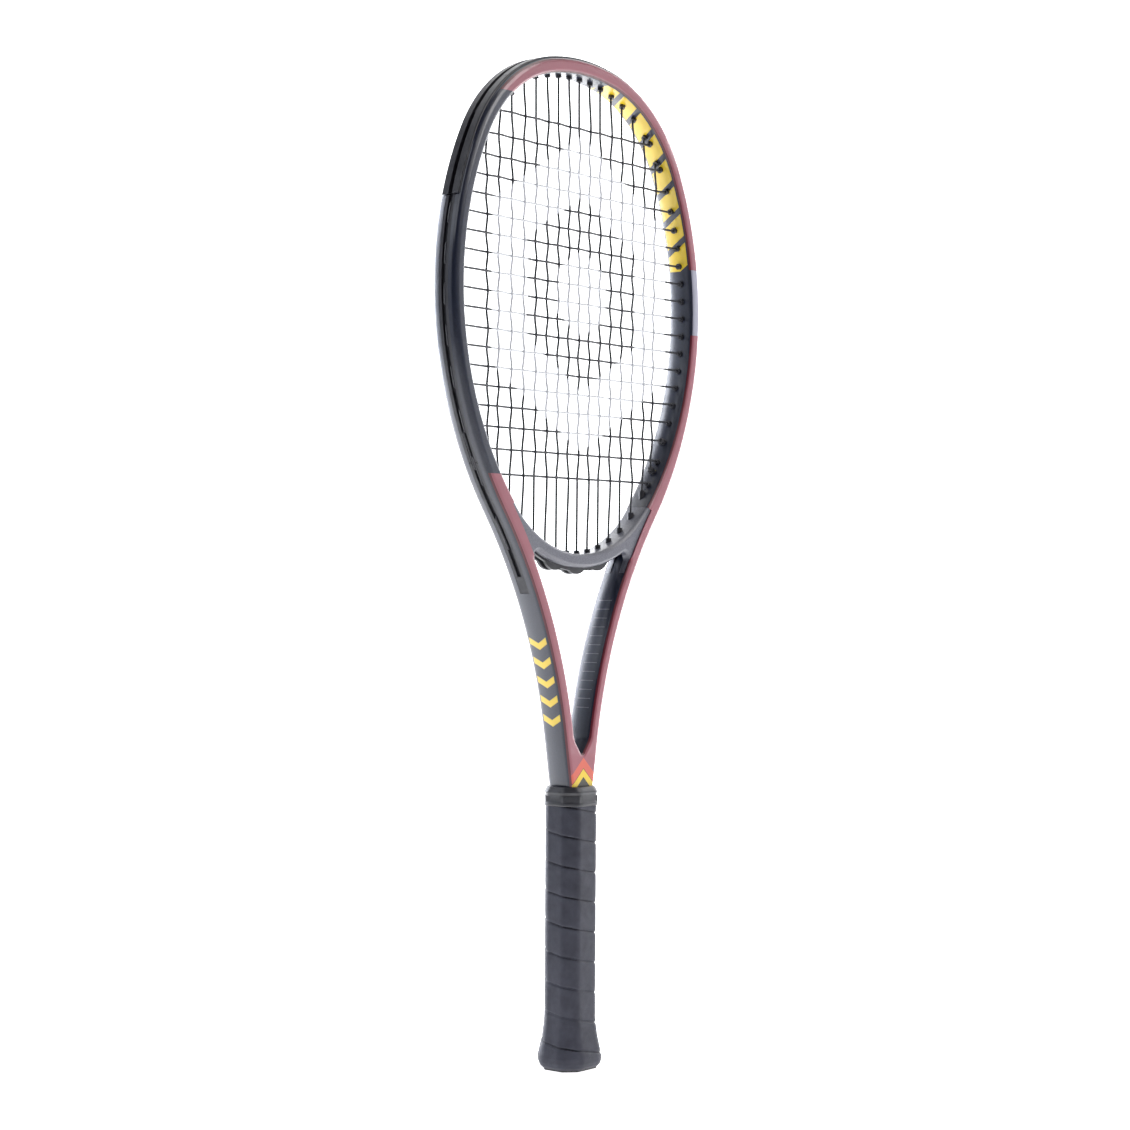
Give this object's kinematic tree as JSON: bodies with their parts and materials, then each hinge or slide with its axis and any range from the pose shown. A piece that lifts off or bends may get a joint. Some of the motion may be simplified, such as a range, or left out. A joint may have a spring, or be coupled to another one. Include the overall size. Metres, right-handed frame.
{
  "type": "tennis racket",
  "caption": "Strung tennis racket with a carbon hoop, open throat, grommet strips, wrapped octagonal handle and flared butt.",
  "frame": {"origin": "centre of the butt's underside, in the string plane", "axes": "+Z from the butt to the tip, X across the hoop, Y square to the string bed"},
  "size_m": [0.2654, 0.039, 0.6858],
  "materials": {
    "frame_paint": "gloss charcoal lacquer over carbon laminate",
    "bumper_plastic": "satin moulded nylon",
    "grommet_plastic": "satin moulded nylon",
    "string": "gloss monofilament",
    "pallet_foam": "moulded polyurethane foam",
    "cap_plastic": "satin moulded plastic",
    "steel_wire": "bright wire",
    "grip_skin": "satin perforated synthetic grip",
    "tape": "smooth vinyl tape",
    "collar_rubber": "satin moulded rubber"
  },
  "bodies": {
    "racket": {"frame_hairpin": "frame_paint", "throat_bridge": "frame_paint", "head_bumper": "bumper_plastic", "left_side_strip": "grommet_plastic", "right_side_strip": "grommet_plastic", "left_shaft_strip": "grommet_plastic", "right_shaft_strip": "grommet_plastic", "throat_strip": "grommet_plastic", "main_string": "string", "cross_string": "string", "handle_pallet": "pallet_foam", "butt_cap": "cap_plastic", "butt_cap_staples": "steel_wire", "grip_tack": "steel_wire", "grip_wrap": "grip_skin", "finishing_tape": "tape", "grip_collar": "collar_rubber"},
    "cap_cover": {"butt_cap_cover": "cap_plastic"}
  },
  "joints": [
    {"name": "cap_cover_slide", "type": "slide", "parent": "racket", "child": "cap_cover", "axis": [0, 0, -1], "range_m": [0, 0.014]}
  ]
}
